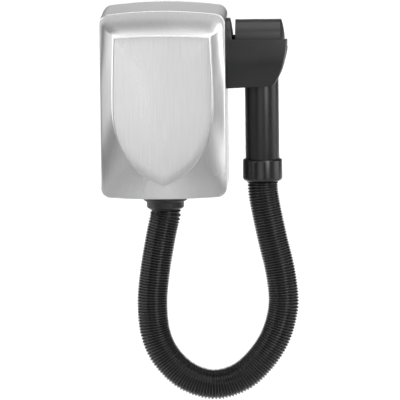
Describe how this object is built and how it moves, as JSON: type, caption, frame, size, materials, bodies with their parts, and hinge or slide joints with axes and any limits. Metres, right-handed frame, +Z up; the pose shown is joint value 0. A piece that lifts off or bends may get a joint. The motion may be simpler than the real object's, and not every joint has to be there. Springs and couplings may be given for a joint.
{
  "type": "wall-mounted hose hair dryer with holder",
  "caption": "Wall hair dryer: brushed steel case with a raised shield front, corrugated hose in a hanging loop, and a handset resting in a side cradle.",
  "frame": {"origin": "centre of the back plate's rear face, on the wall plane", "axes": "+X to the right as seen from the front, +Y into the wall, +Z up; the front faces -Y"},
  "size_m": [0.2538, 0.112, 0.5162],
  "materials": {
    "steel": "vertical brushed grain, satin",
    "zinc": "plain zinc-plated steel",
    "black_plastic": "fine satin texture",
    "soft_black": "matt",
    "grey_plastic": "matt",
    "ivory_plastic": "matt heat-resistant moulding",
    "green_board": "laminate",
    "heater_wire": "oxidised resistance wire"
  },
  "bodies": {
    "base": {"back_plate": "zinc", "cover": "steel", "cover_screw_left": "zinc", "cover_screw_right": "zinc", "volute_rear": "ivory_plastic", "volute_front": "ivory_plastic", "motor_body": "zinc", "motor_rubber_ring": "soft_black", "motor_bracket": "zinc", "heater_frame": "ivory_plastic", "heater_coil": "heater_wire", "thermal_cutout": "soft_black", "duct_adapter": "ivory_plastic", "hose_socket": "black_plastic", "socket_nut": "soft_black", "control_board": "green_board", "board_rail_left": "ivory_plastic", "board_rail_right": "ivory_plastic", "board_relay": "soft_black", "board_capacitor": "grey_plastic", "board_heat_sink": "zinc", "terminal_block": "ivory_plastic", "cable_grommet": "soft_black", "inlet_filter_left": "soft_black", "inlet_filter_right": "soft_black", "cradle": "black_plastic", "cradle_screw_lower": "zinc", "cradle_screw_upper": "zinc", "switch_body": "grey_plastic", "hose": "soft_black"},
    "fan": {"impeller": "grey_plastic", "motor_shaft": "zinc"},
    "handset": {"handle_tube": "black_plastic", "head_shell": "black_plastic", "head_end_cap": "black_plastic", "outlet_grille": "soft_black", "outlet_ring": "soft_black"},
    "cuff": {"hose_cuff": "soft_black"},
    "plunger": {"switch_plunger": "ivory_plastic"}
  },
  "joints": [
    {"name": "fan_spin", "type": "hinge", "parent": "base", "child": "fan", "pos_m": [0.024, -0.058, 0.038], "axis": [0, -1, 0], "continuous": true},
    {"name": "handset_lift", "type": "slide", "parent": "base", "child": "handset", "axis": [0, 0, 1], "range_m": [0, 0.085]},
    {"name": "cuff_swivel", "type": "hinge", "parent": "handset", "child": "cuff", "pos_m": [0.1268, -0.058, -0.09], "axis": [0, 0, 1], "continuous": true},
    {"name": "switch_plunge", "type": "slide", "parent": "base", "child": "plunger", "axis": [0, 0, 1], "range_m": [0, 0.003]}
  ],
  "couplings": [
    {"joint": "switch_plunge", "follows": "handset_lift", "ratio": 0.035}
  ]
}
